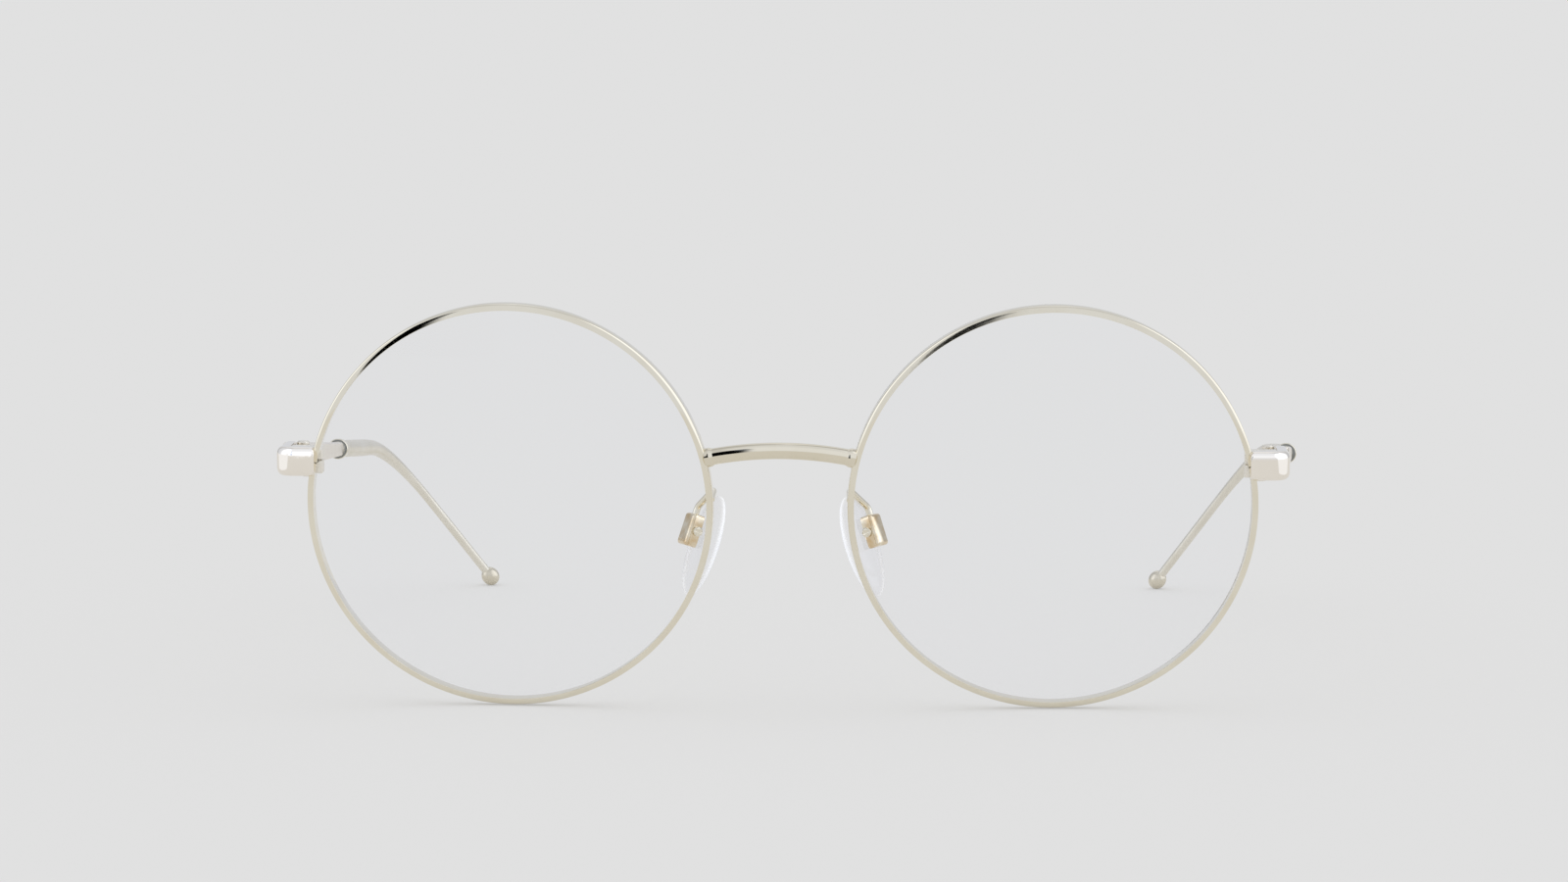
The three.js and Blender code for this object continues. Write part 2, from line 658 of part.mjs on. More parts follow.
function bodyGroup(name, pivot) {
  const group = new THREE.Group();
  group.name = name;
  group.position.copy(pivot);
  eyeglasses.add(group);
  return group;
}

function addPiece(group, name, geometry, material) {
  const local = welded(geometry).translate(-group.position.x, -group.position.y, -group.position.z);
  const mesh = new THREE.Mesh(toCreasedNormals(local, radians(CREASE)), material);
  mesh.name = name;
  group.add(mesh);
}

const front = bodyGroup('front', vector(0, 0, 0));
addPiece(front, 'bridge', bridge(), gold());

const frontPieces = [
  ['rim', rim(), gold],
  ['lens', lens(), lensPlastic],
  ['endpiece', endpiece(), gold],
  ['upper_rim_lock', rimLock(1), gold],
  ['lower_rim_lock', rimLock(-1), gold],
  ['rim_screw', rimScrew(), gold],
  ['front_hinge_leaf', frontLeaf(), gold],
  ['hinge_screw', hingeScrew(), gold],
  ['pad_arm', padArm(), gold],
  ['pad_box', padBox(), gold],
  ['pad_screw', padScrew(), gold],
];
const templePieces = [
  ['temple_hinge_leaf', templeLeaf(), gold],
  ['temple_bar', templeBar(), gold],
  ['temple_collar', collar(), gold],
  ['ear_wire', earWire(), gold],
  ['end_ball', endBall(), gold],
];
const padPieces = [
  ['nose_pad', nosePad(), silicone],
  ['pad_stem', padStem(), stemPlastic],
];

for (const side of ['left', 'right']) {
  const sign = side === 'right' ? 1 : -1;
  const sided = (geometry) => (side === 'right' ? geometry : mirrored(geometry));
  const atSide = (point) => vector(sign * point.x, point.y, point.z);
  const temple = bodyGroup(`${side}_temple`, atSide(hingeAxis));
  const pad = bodyGroup(`${side}_pad`, atSide(padPivotWorld));
  for (const [group, pieces] of [[front, frontPieces], [temple, templePieces], [pad, padPieces]]) {
    for (const [name, geometry, finish] of pieces) {
      addPiece(group, `${side}_${name}`, sided(geometry), finish());
    }
  }
}

// The origin lies on the floor, under the middle of the whole depth.
const bounds = new THREE.Box3().setFromObject(eyeglasses);
eyeglasses.position.y = -(bounds.min.y + bounds.max.y) / 2;

export default eyeglasses;
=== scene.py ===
"""Looks for the round eyeglasses: fine metal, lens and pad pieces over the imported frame.

Lengths below are millimetres and angles degrees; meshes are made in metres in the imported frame.
Each piece is drawn for the viewer's right-hand side, and the left-hand one is its mirror image.
"""

import json
import math
from math import radians

import bmesh
import bpy
from mathutils import Matrix, Vector


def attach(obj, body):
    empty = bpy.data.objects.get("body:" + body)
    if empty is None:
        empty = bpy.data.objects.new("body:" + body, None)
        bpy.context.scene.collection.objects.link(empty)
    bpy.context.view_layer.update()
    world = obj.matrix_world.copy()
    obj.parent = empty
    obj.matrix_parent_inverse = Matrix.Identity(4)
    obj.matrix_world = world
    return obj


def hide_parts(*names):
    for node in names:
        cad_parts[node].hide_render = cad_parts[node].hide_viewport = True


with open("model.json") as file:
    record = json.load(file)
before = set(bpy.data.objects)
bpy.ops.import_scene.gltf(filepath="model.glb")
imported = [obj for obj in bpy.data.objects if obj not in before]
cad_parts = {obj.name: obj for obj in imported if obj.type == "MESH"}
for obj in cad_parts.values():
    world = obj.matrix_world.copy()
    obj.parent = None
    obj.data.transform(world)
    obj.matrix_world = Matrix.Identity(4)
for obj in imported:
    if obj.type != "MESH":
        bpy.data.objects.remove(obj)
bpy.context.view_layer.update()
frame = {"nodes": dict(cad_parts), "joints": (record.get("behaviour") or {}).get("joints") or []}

MM = 0.001
SIDES = ("left", "right")

# Lenses
LENS_DIAMETER = 51
LENS_GAP = 18
LENS_CURVE = 130
LENS_THICKNESS = 1.5
LENS_SEAT = 0.1  # how far the lens's faces run into the rim
BEVEL_WIDTH = 0.9
LENS_RINGS = 20
LENS_STEPS = 128

# Rims
RIM_OVERLAP = 0.25
RIM_WIDTH = 0.9
RIM_DEPTH = 2
RIM_SPLIT = 0.2
RIM_FOOT = 0.2  # chamfer on which the solid's rim stands
RIM_TRIM = 0.1  # how much slimmer than the solid the rim is drawn
RIM_STEPS = 256
CROWN_IN = 18  # lean of the rim's crowned front, outwards, at its inner edge
CROWN_OUT = 78  # the same at its outer edge
CROWN_TURN = 4  # how late the lean grows across the front
CROWN_STEPS = 18
CROWN_ROUND = 0.03  # rounding of the front's inner edge
BACK_OUTER_ROUND = 0.3
BACK_INNER_ROUND = 0.12
FRONT_TILT = 6.25
FRONT_WRAP = 3.5

# Bridge
BRIDGE_RISE = 6.3
BRIDGE_ARCH = 1.05
BRIDGE_BOW = 0.87
BRIDGE_HEIGHT = 2.1
BRIDGE_DEPTH = 1.7
BRIDGE_SINK = 0.25  # how far its ends run into the rims
SOLDER_SWELL = 0.17  # share by which it thickens at each soldered foot
SOLDER_LENGTH = 0.3
SOLDER_STEP = 0.6  # length over which that fades
BRIDGE_STEPS = 240
BRIDGE_SIDES = 48

# Endpieces
ENDPIECE_RISE = 5.35
ENDPIECE_HEIGHT = 3.7
ENDPIECE_WIDTH = 5
ENDPIECE_REACH = 3.9
ENDPIECE_THICKNESS = 2.5
ENDPIECE_PROUD = 0.7
ENDPIECE_SINK = 0.3  # how far it sinks over the rim's crowned front
ENDPIECE_BEND = 2.4  # its rounded turn to the side, seen from above
ENDPIECE_CORNER = 0.4  # its inner corners, seen from the front
ENDPIECE_END = 0.08  # rounding of its inner end
EDGE_DEPTH = 0.8  # its long rounded edges, front to back
EDGE_HEIGHT = 1.0
BACK_EDGE = 0.12  # chamfer of its long edges at the back
BACK_EDGE_SHARE = 0.125  # the most of its thickness that the chamfer takes
INNER_TURN = 0.4
RETURN_LENGTH = 6.2
SIDE_THICKNESS = 1.6
RIM_SEAT = 0.3  # how far the block's back runs into the rim
END_STEPS = 10
FACE_STEPS = 6
RETURN_STEPS = 5
EDGE_STEPS = 8

# Hinges and temples
KNUCKLE_RADIUS = 0.95
SOLDER_GAP = 0.05
BUTT_GAP = 0.2
BAR_LENGTH = 79.8
BAR_SPLAY = 2.2
BAR_SLOPE = 5
BAR_FRONT_HEIGHT = 3.4
BAR_BACK_HEIGHT = 1.9
BAR_FRONT_CORNER = 0.2
BAR_BACK_CORNER = 0.4
BAR_EDGE = 0.35
COLLAR_RADIUS = 1.45
COLLAR_LENGTH = 2.4
COLLAR_ROUND = 0.2
COLLAR_CONE = 0.3  # how far the collar's middle stands out around the bar
COLLAR_CONE_RADIUS = 1.05
COLLAR_ROUND_STEPS = 8
COLLAR_SIDES = 64
WIRE_RADIUS = 0.62
WIRE_SWELL = 0.95  # share by which the wire is thicker where it leaves the collar
SWELL_START = 16  # how far along the wire that begins to fade
SWELL_END = 43
WIRE_LEAD = 4
WIRE_INWARD = 8.8
WIRE_STRAIGHT = 29.4
WIRE_SPACING = 2.5
WIRE_SIDES = 28
DROP_INWARD = 56
DROP_ANGLE = 49
LEAD_BEND = 22
EAR_BEND = 20
BALL_RADIUS = 1.28
BALL_LENGTH = 2.84
BALL_RINGS = 28
BALL_SIDES = 48

# Nose pads
PAD_HEIGHT = 13.4
PAD_WIDTH = 7.4
PAD_THICKNESS = 1.9
PAD_OUT = 1.1
PAD_BACK = 5.4
PAD_DROP = 5.8
PAD_SPLAY = 30
PAD_LEAN = 20
PAD_PIVOT_RISE = 1.4
PAD_EDGE = 0.3  # half the thickness that no crown takes away
PAD_NOSE_CROWN = 0.55  # share of the rest that falls away towards the edge
PAD_BACK_CROWN = 0.15
PAD_FULLNESS = 6  # how late the round edge falls away
PAD_RINGS = 14
PAD_STEPS = 72
STEM_PLATE = 0.35
STEM_NECK = 0.95
LUG_RADIUS = 0.62
LUG_WIDTH = 1.2
LUG_GAP = 0.12
ROCK_GAP = 0.42
BOX_HEIGHT = 4.2
BOX_WALL = 0.35
BOX_CHEEK = 0.6
BOX_CAVITY_HEIGHT = 2.6
BOX_ROUND = 0.45
ARM_RADIUS = 0.45
ARM_RISE = 0.8
ARM_BACK = 2.7
ARM_LIFT = 0.6
ARM_LEAD = 1
ARM_SEAT = 0.6
ARM_BEND = 1.1
ARM_SPACING = 0.4
ARM_SIDES = 24

# Drawing
CORNER_STEPS = 6
BEND_STEPS = 14
BEVEL_STEPS = 5
TINY = 1e-6  # lengths below this are nothing
MERGE_GAP = 1e-4
UPRIGHT = 0.9  # a route that starts more steeply takes its up from Y


def place(position, turn_x=0, turn_y=0, turn_z=0):
    """A place that is turned about X, then Y, then Z, then moved."""
    turn = Matrix.Identity(4)
    for angle, axis in ((turn_z, "Z"), (turn_y, "Y"), (turn_x, "X")):
        turn = turn @ Matrix.Rotation(radians(angle), 4, axis)
    return Matrix.Translation(position) @ turn


def heading(inward, down):
    """The way along +Y, turned towards -X and then downwards."""
    level = math.cos(radians(down))
    across = -math.sin(radians(inward)) * level
    along = math.cos(radians(inward)) * level
    return Vector((across, along, -math.sin(radians(down))))


# Worked-out places on the right-hand side
tilt = radians(FRONT_TILT)
lens_radius = LENS_DIAMETER / 2
rim_inner = lens_radius - RIM_OVERLAP
rim_outer = rim_inner + RIM_WIDTH
rim_middle = (rim_inner + rim_outer) / 2
rim_half = RIM_DEPTH / 2
lens_height = rim_outer * math.cos(tilt) + (rim_half - RIM_FOOT) * math.sin(tilt)
lens_centre = Vector((LENS_GAP / 2 + lens_radius, 0, lens_height))
lens_place = place(lens_centre, FRONT_TILT, 0, FRONT_WRAP)


def on_rim(radius, height, back, side):
    """A point around the lens's middle, on the outer side (1) or the nose's side (-1)."""
    across = side * math.sqrt(radius**2 - height**2)
    return lens_place @ Vector((across, back, height))


rim_widest = on_rim(rim_outer, 0, 0, 1).x
endpiece_z = lens_centre.z + ENDPIECE_RISE
endpiece_outer = rim_widest + ENDPIECE_REACH
endpiece_inner = endpiece_outer - ENDPIECE_WIDTH
endpiece_front = on_rim(rim_outer, ENDPIECE_RISE, -rim_half, 1).y - ENDPIECE_PROUD
endpiece_back = endpiece_front + ENDPIECE_THICKNESS
return_end = endpiece_back + RETURN_LENGTH
return_inner = endpiece_outer - SIDE_THICKNESS

hinge_x = return_inner - SOLDER_GAP - KNUCKLE_RADIUS
hinge_axis = Vector((hinge_x, return_end + BUTT_GAP / 2, endpiece_z))
temple_place = place(hinge_axis, 0, 0, -BAR_SPLAY)
bar_inner = KNUCKLE_RADIUS + SOLDER_GAP
bar_middle = bar_inner + SIDE_THICKNESS / 2
bar_along = heading(0, BAR_SLOPE)
bar_up = Vector((0, math.sin(radians(BAR_SLOPE)), math.cos(radians(BAR_SLOPE))))
collar_middle = Vector((bar_middle, 0, 0)) + bar_along * BAR_LENGTH
collar_place = place(collar_middle, -BAR_SLOPE)

drop = radians(DROP_ANGLE)
drop_heading = heading(DROP_INWARD, DROP_ANGLE)
lead_corner = collar_middle + bar_along * WIRE_LEAD
ear_corner = lead_corner + heading(WIRE_INWARD, BAR_SLOPE) * WIRE_STRAIGHT
ball_rest = math.hypot(BALL_LENGTH / 2 * math.sin(drop), BALL_RADIUS * math.cos(drop))
drop_length = (endpiece_z + ear_corner.z - ball_rest) / math.sin(drop)
ball_middle = ear_corner + drop_heading * drop_length

pad_centre = Vector((LENS_GAP / 2 + PAD_OUT, PAD_BACK, lens_centre.z - PAD_DROP))
pad_place = place(pad_centre, 0, -PAD_LEAN, -PAD_SPLAY)
pad_flat = pad_place.to_3x3() @ Vector((1, 0, 0))
plate_front = PAD_THICKNESS / 2 + SOLDER_GAP
plate_back = plate_front + STEM_PLATE
pad_pivot = Vector((plate_back + STEM_NECK, 0, PAD_PIVOT_RISE))
box_front = plate_back + ROCK_GAP
box_back = pad_pivot.x + LUG_RADIUS + LUG_GAP + BOX_WALL
box_middle = (box_front + box_back) / 2
box_foot = pad_pivot.z - BOX_HEIGHT / 2
box_top = pad_pivot.z + BOX_HEIGHT / 2
cavity_half = LUG_WIDTH / 2 + LUG_GAP
box_half = cavity_half + BOX_CHEEK

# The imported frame's origin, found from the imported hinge
packed_hinge = next(j for j in frame["joints"] if j["name"] == "right_temple_fold")["pos_m"]
to_row = Matrix.Translation(Vector(packed_hinge) / MM - hinge_axis)


# Mesh makers: a mesh is (points, faces) in millimetres


def moved(mesh, matrix):
    points, faces = mesh
    return [matrix @ p for p in points], faces


def mirrored(mesh):
    points, faces = mesh
    return [Vector((-p.x, p.y, p.z)) for p in points], [tuple(reversed(f)) for f in faces]


def without_repeats(*corners):
    return tuple(dict.fromkeys(corners))


def eased(share):
    """A share that is kept between 0 and 1 and smoothed towards both."""
    share = min(1.0, max(0.0, share))
    return share * share * (3 - 2 * share)


def on_curve(start, corner, end, share):
    """A point on the curve from start to end that bends at a corner."""
    before, after = 1 - share, share
    return start * before**2 + corner * (2 * after * before) + end * after**2


def oval(half_width, half_height, steps):
    angles = [2 * math.pi * k / steps for k in range(steps)]
    return [(half_width * math.cos(angle), half_height * math.sin(angle)) for angle in angles]


def rounded(corners, steps=CORNER_STEPS):
    """A closed outline from (x, y, radius) corners, each rounded by its radius."""
    outline = []
    count = len(corners)
    for i, (x, y, radius) in enumerate(corners):
        corner = Vector((x, y))
        if radius == 0:
            outline.append(corner)
            continue
        before = (Vector(corners[i - 1][:2]) - corner).normalized()
        after = (Vector(corners[(i + 1) % count][:2]) - corner).normalized()
        half = before.angle(after) / 2
        setback = radius / math.tan(half)
        centre = corner + (before + after).normalized() * (radius / math.sin(half))
        start = corner + before * setback - centre
        end = corner + after * setback - centre
        sweep = start.angle_signed(end)
        for k in range(steps + 1):
            outline.append(centre + Matrix.Rotation(-sweep * k / steps, 2) @ start)
    return outline


def turned(profile, steps, start=0, sweep=360):
    """A closed (radius, along) profile turned about Y.

    A part turn gets flat ends, and points on the axis are shared.
    """
    full = sweep >= 360
    count = steps if full else steps + 1
    points, rings = [], []
    for radius, along in profile:
        if abs(radius) < TINY:
            rings.append([len(points)] * count)
            points.append(Vector((0, along, 0)))
            continue
        rings.append(list(range(len(points), len(points) + count)))
        for k in range(count):
            angle = radians(start + sweep * k / steps)
            points.append(Vector((radius * math.cos(angle), along, radius * math.sin(angle))))
    faces = []
    for i, low in enumerate(rings):
        high = rings[(i + 1) % len(rings)]
        for k in range(steps):
            nxt = (k + 1) % count
            face = without_repeats(low[k], high[k], high[nxt], low[nxt])
            if len(face) > 2:
                faces.append(face)
    if not full:
        faces.append(tuple(ring[0] for ring in reversed(rings)))
        faces.append(tuple(ring[-1] for ring in rings))
    return points, faces


def skinned(points, width):
    """A mesh of points that follow each other in rings of one width, with flat ends."""
    faces = []
    last = len(points) - width
    for low in range(0, last, width):
        high = low + width
        for k in range(width):
            nxt = (k + 1) % width
            faces.append((low + k, low + nxt, high + nxt, high + k))
    faces.append(tuple(reversed(range(width))))
    faces.append(tuple(range(last, last + width)))
    return points, faces


def swept(route, section, scale=None):
    """A section of (u, v) points carried along a route of points."""
    last = len(route) - 1
    ways = []
    for i in range(last + 1):
        ways.append((route[min(i + 1, last)] - route[max(i - 1, 0)]).normalized())
    up = Vector((0, 0, 1)) if abs(ways[0].z) < UPRIGHT else Vector((0, 1, 0))
    side = ways[0].cross(up).normalized()
    points = []
    for i, middle in enumerate(route):
        if i:
            side = (ways[i - 1].rotation_difference(ways[i]) @ side).normalized()
        top = side.cross(ways[i]).normalized()
        grow = scale(i) if scale else 1
        points += [middle + side * (u * grow) + top * (v * grow) for u, v in section]
    return skinned(points, len(section))


def bent_route(corners, radii, spacing):
    """A route through corners, each rounded, with points about a spacing apart on its straights."""
    route = []

    def straight(start, end):
        steps = max(2, int((end - start).length / spacing))
        route.extend(start.lerp(end, k / steps) for k in range(steps))

    start = corners[0]
    for i in range(1, len(corners) - 1):
        before = (corners[i - 1] - corners[i]).normalized()
        after = (corners[i + 1] - corners[i]).normalized()
        setback = radii[i - 1] / math.tan(before.angle(after) / 2)
        enter = corners[i] + before * setback
        leave = corners[i] + after * setback
        straight(start, enter)
        for k in range(BEND_STEPS):
            route.append(on_curve(enter, corners[i], leave, k / BEND_STEPS))
        start = leave
    straight(start, corners[-1])
    route.append(corners[-1])
    return route


def prism(outline, low, high):
    """An editable mesh of an outline in XY that is raised along Z."""
    bm = bmesh.new()
    face = bm.faces.new([bm.verts.new((x, y, low)) for x, y in outline])
    raised = bmesh.ops.extrude_face_region(bm, geom=[face])
    top = [v for v in raised["geom"] if isinstance(v, bmesh.types.BMVert)]
    bmesh.ops.translate(bm, verts=top, vec=(0, 0, high - low))
    bmesh.ops.recalc_face_normals(bm, faces=bm.faces)
    return bm


def round_edges(bm, edges, width):
    bmesh.ops.bevel(
        bm, geom=edges, offset=width, segments=BEVEL_STEPS, profile=0.5, affect="EDGES"
    )


def finished(bm):
    """The (points, faces) of an editable mesh, which is freed."""
    bmesh.ops.recalc_face_normals(bm, faces=bm.faces)
    bm.verts.index_update()
    points = [v.co.copy() for v in bm.verts]
    faces = [tuple(v.index for v in f.verts) for f in bm.faces]
    bm.free()
    return points, faces


# The pieces, each on the right-hand side


def rim():
    """A ring with a crowned front, open at its split."""
    track = [(0.0, 0.0)]
    for k in range(CROWN_STEPS):
        share = (k + 0.5) / CROWN_STEPS
        lean = radians(CROWN_IN + (CROWN_OUT - CROWN_IN) * share**CROWN_TURN)
        across, back = track[-1]
        track.append((across + math.cos(lean), back + math.sin(lean)))
    fit = (RIM_WIDTH - RIM_TRIM) / track[-1][0]
    crown = [(rim_inner + across * fit, -rim_half + back * fit, 0) for across, back in track]
    crown[0] = crown[0][:2] + (CROWN_ROUND,)
    outer_back = (rim_outer - RIM_TRIM, rim_half, BACK_OUTER_ROUND)
    inner_back = (rim_inner, rim_half, BACK_INNER_ROUND)
    section = rounded(crown + [outer_back, inner_back])
    split = math.degrees(math.asin(ENDPIECE_RISE / math.cos(tilt) / rim_middle))
    gap = math.degrees(RIM_SPLIT / 2 / rim_middle)
    return moved(turned(section, RIM_STEPS, split + gap, 360 - 2 * gap), lens_place)


def lens():
    """A curved lens with a ridge around its edge."""
    shoulder = rim_inner + LENS_SEAT
    half = LENS_THICKNESS / 2
    back_curve = LENS_CURVE - LENS_THICKNESS

    def sag(radius, curve):
        return curve - math.sqrt(curve**2 - radius**2)

    front, back = [], []
    for i in range(LENS_RINGS + 1):
        radius = shoulder * i / LENS_RINGS
        front.append((radius, sag(radius, LENS_CURVE) - sag(shoulder, LENS_CURVE) - half))
        back.append((radius, sag(radius, back_curve) - sag(shoulder, back_curve) + half))
    ridge = [(shoulder, -BEVEL_WIDTH / 2), (lens_radius, 0), (shoulder, BEVEL_WIDTH / 2)]
    return moved(turned(front + ridge + back[::-1], LENS_STEPS), lens_place)


def bridge():
    """An arched and bowed bar that flares a little at both soldered feet."""
    end = on_rim(rim_outer - BRIDGE_SINK, BRIDGE_RISE, 0, -1)
    start = Vector((-end.x, end.y, end.z))
    top = Vector((0, end.y - 2 * BRIDGE_BOW, end.z + 2 * BRIDGE_ARCH))
    route = [on_curve(start, top, end, k / BRIDGE_STEPS) for k in range(BRIDGE_STEPS + 1)]

    def swell(i):
        near = min((route[i] - start).length, (route[i] - end).length) - BRIDGE_SINK
        return 1 + SOLDER_SWELL * eased((SOLDER_LENGTH + SOLDER_STEP - near) / SOLDER_STEP)

    return swept(route, oval(BRIDGE_DEPTH / 2, BRIDGE_HEIGHT / 2, BRIDGE_SIDES), swell)


def endpiece_stations():
    """(outer point, inner point, half height) along the endpiece, seen from above."""
    half = ENDPIECE_HEIGHT / 2
    seat = rim_widest - RIM_SEAT
    rim_face = endpiece_front + ENDPIECE_PROUD + ENDPIECE_SINK
    bend_x = endpiece_outer - ENDPIECE_BEND
    bend_y = endpiece_front + ENDPIECE_BEND
    turn_x = return_inner - INNER_TURN
    turn_y = endpiece_back + INNER_TURN
    stations = []
    for k in range(END_STEPS + 1):
        ahead = ENDPIECE_CORNER * (1 - math.cos(math.pi / 2 * k / END_STEPS))
        short = ENDPIECE_CORNER - ahead
        height = half - ENDPIECE_CORNER + math.sqrt(ENDPIECE_CORNER**2 - short**2)
        inset = max(0, ENDPIECE_END - ahead)
        set_back = ENDPIECE_END - math.sqrt(ENDPIECE_END**2 - inset**2)
        x = endpiece_inner + ahead
        stations.append(((x, endpiece_front + set_back), (x, rim_face), height))
    for k in range(FACE_STEPS + 1):
        share = k / FACE_STEPS
        outer = (seat + (bend_x - seat) * share, endpiece_front)
        inner = (seat + (turn_x - seat) * share, endpiece_back)
        stations.append((outer, inner, half))
    for k in range(1, BEND_STEPS + 1):
        angle = math.pi / 2 * k / BEND_STEPS
        outer = (bend_x + ENDPIECE_BEND * math.sin(angle), bend_y - ENDPIECE_BEND * math.cos(angle))
        inner = (turn_x + INNER_TURN * math.sin(angle), turn_y - INNER_TURN * math.cos(angle))
        stations.append((outer, inner, half))
    for k in range(1, RETURN_STEPS + 1):
        share = k / RETURN_STEPS
        outer = (endpiece_outer, bend_y + (return_end - bend_y) * share)
        inner = (return_inner, turn_y + (return_end - turn_y) * share)
        stations.append((outer, inner, half))
    return stations


def endpiece_edge(thick, height):
    """(depth, height) points over a section's upper edges, from its back to its front face."""
    chamfer = min(BACK_EDGE, thick * BACK_EDGE_SHARE)
    edge = [(thick, height - chamfer), (thick - chamfer, height)]
    for k in range(EDGE_STEPS + 1):
        angle = math.pi / 2 * k / EDGE_STEPS
        depth = EDGE_DEPTH * (1 - math.sin(angle))
        edge.append((depth, height - EDGE_HEIGHT * (1 - math.cos(angle))))
    return edge


def endpiece():
    """A strap with softly rounded long edges, which starts on the rim and turns back at the side."""
    stations = endpiece_stations()
    points = []
    for outer, inner, height in stations:
        outer, inner = Vector(outer), Vector(inner)
        inward = (inner - outer).normalized()
        upper = endpiece_edge((inner - outer).length, height)
        for depth, rise in upper + [(d, -r) for d, r in reversed(upper)]:
            spot = outer + inward * depth
            points.append(Vector((spot.x, spot.y, endpiece_z + rise)))
    return skinned(points, len(points) // len(stations))


def temple_bar():
    """A flat bar that tapers towards the collar, with rounded edges."""
    start = BUTT_GAP / 2
    front = BAR_FRONT_HEIGHT / 2
    end = bar_along * (BAR_LENGTH - COLLAR_LENGTH / 2 + SOLDER_GAP)
    end_top = end + bar_up * (BAR_BACK_HEIGHT / 2)
    end_foot = end - bar_up * (BAR_BACK_HEIGHT / 2)
    outline = rounded(
        [
            (start, -front, BAR_FRONT_CORNER),
            (end_foot.y, end_foot.z, BAR_BACK_CORNER),
            (end_top.y, end_top.z, BAR_BACK_CORNER),
            (start, front, BAR_FRONT_CORNER),
        ]
    )
    bm = prism(outline, bar_inner, bar_inner + SIDE_THICKNESS)
    level_edges = [e for e in bm.edges if abs(e.verts[0].co.z - e.verts[1].co.z) < TINY]
    round_edges(bm, level_edges, BAR_EDGE)
    bmesh.ops.remove_doubles(bm, verts=bm.verts, dist=MERGE_GAP)
    onto_side = Matrix(((0, 0, 1, 0), (1, 0, 0, 0), (0, 1, 0, 0), (0, 0, 0, 1)))
    return moved(finished(bm), temple_place @ onto_side)


def collar():
    """A ring with rounded edges and a low cone in front."""
    half = COLLAR_LENGTH / 2
    bore = WIRE_RADIUS - SOLDER_GAP
    section = rounded(
        [
            (bore, -half - COLLAR_CONE, 0),
            (COLLAR_CONE_RADIUS, -half, 0),
            (COLLAR_RADIUS, -half, COLLAR_ROUND),
            (COLLAR_RADIUS, half, COLLAR_ROUND),
            (bore, half, 0),
        ],
        COLLAR_ROUND_STEPS,
    )
    return moved(turned(section, COLLAR_SIDES), temple_place @ collar_place)


def ear_wire():
    """A round wire that bends inwards and then down, thicker where it leaves the collar."""
    start = collar_middle - bar_along * (COLLAR_LENGTH / 4)
    corners = [start, lead_corner, ear_corner, ball_middle]
    route = bent_route(corners, [LEAD_BEND, EAR_BEND], WIRE_SPACING)
    along = [0.0]
    for before, after in zip(route, route[1:]):
        along.append(along[-1] + (after - before).length)

    def swell(i):
        fade = eased((along[i] - SWELL_START) / (SWELL_END - SWELL_START))
        return 1 + WIRE_SWELL * (1 - fade)

    return moved(swept(route, oval(WIRE_RADIUS, WIRE_RADIUS, WIRE_SIDES), swell), temple_place)


def end_ball():
    """A small egg at the end of the wire."""
    profile = []
    for i in range(BALL_RINGS + 1):
        angle = math.pi * i / BALL_RINGS - math.pi / 2
        radius = 0 if i in (0, BALL_RINGS) else BALL_RADIUS * math.cos(angle)
        profile.append((radius, BALL_LENGTH / 2 * math.sin(angle)))
    turn = Vector((0, 1, 0)).rotation_difference(drop_heading).to_matrix().to_4x4()
    spot = temple_place @ Matrix.Translation(ball_middle) @ turn
    return moved(turned(profile, BALL_SIDES), spot)


def nose_pad():
    """A clear oval pad: domed towards the nose, flatter behind, with a round edge."""
    points, faces = [], []

    def layer(sign, crown, rings):
        made = []
        for i in range(rings):
            share = math.sin(math.pi / 2 * i / PAD_RINGS)
            depth = PAD_EDGE + (PAD_THICKNESS / 2 - PAD_EDGE) * (1 - crown * share**2)
            fall = math.sqrt(max(0.0, 1 - share**PAD_FULLNESS))
            count = PAD_STEPS if i else 1
            made.append([len(points) + k % count for k in range(PAD_STEPS)])
            ring = oval(PAD_WIDTH / 2 * share, PAD_HEIGHT / 2 * share, PAD_STEPS)
            points.extend(Vector((sign * depth * fall, y, z)) for y, z in ring[:count])
        return made

    front = layer(-1, PAD_NOSE_CROWN, PAD_RINGS + 1)
    back = layer(1, PAD_BACK_CROWN, PAD_RINGS) + front[-1:]
    for k in range(PAD_STEPS):
        nxt = (k + 1) % PAD_STEPS
        for i in range(PAD_RINGS):
            near, far = front[i], front[i + 1]
            faces.append(without_repeats(near[k], far[k], far[nxt], near[nxt]))
            near, far = back[i], back[i + 1]
            faces.append(without_repeats(near[nxt], far[nxt], far[k], near[k]))
    return moved((points, faces), pad_place)


def pad_arm():
    """A bent wire from the back of the rim to the pad box."""
    foot = on_rim(rim_middle, ARM_RISE, rim_half / 2, -1)
    back_of_loop = on_rim(rim_middle, ARM_RISE + ARM_LIFT, rim_half + ARM_BACK, -1)
    above_box = pad_place @ Vector((box_middle, 0, box_top + ARM_LEAD))
    seat = pad_place @ Vector((box_middle, 0, box_top - ARM_SEAT))
    route = bent_route([foot, back_of_loop, above_box, seat], [ARM_BEND, ARM_BEND], ARM_SPACING)
    return swept(route, oval(ARM_RADIUS, ARM_RADIUS, ARM_SIDES))


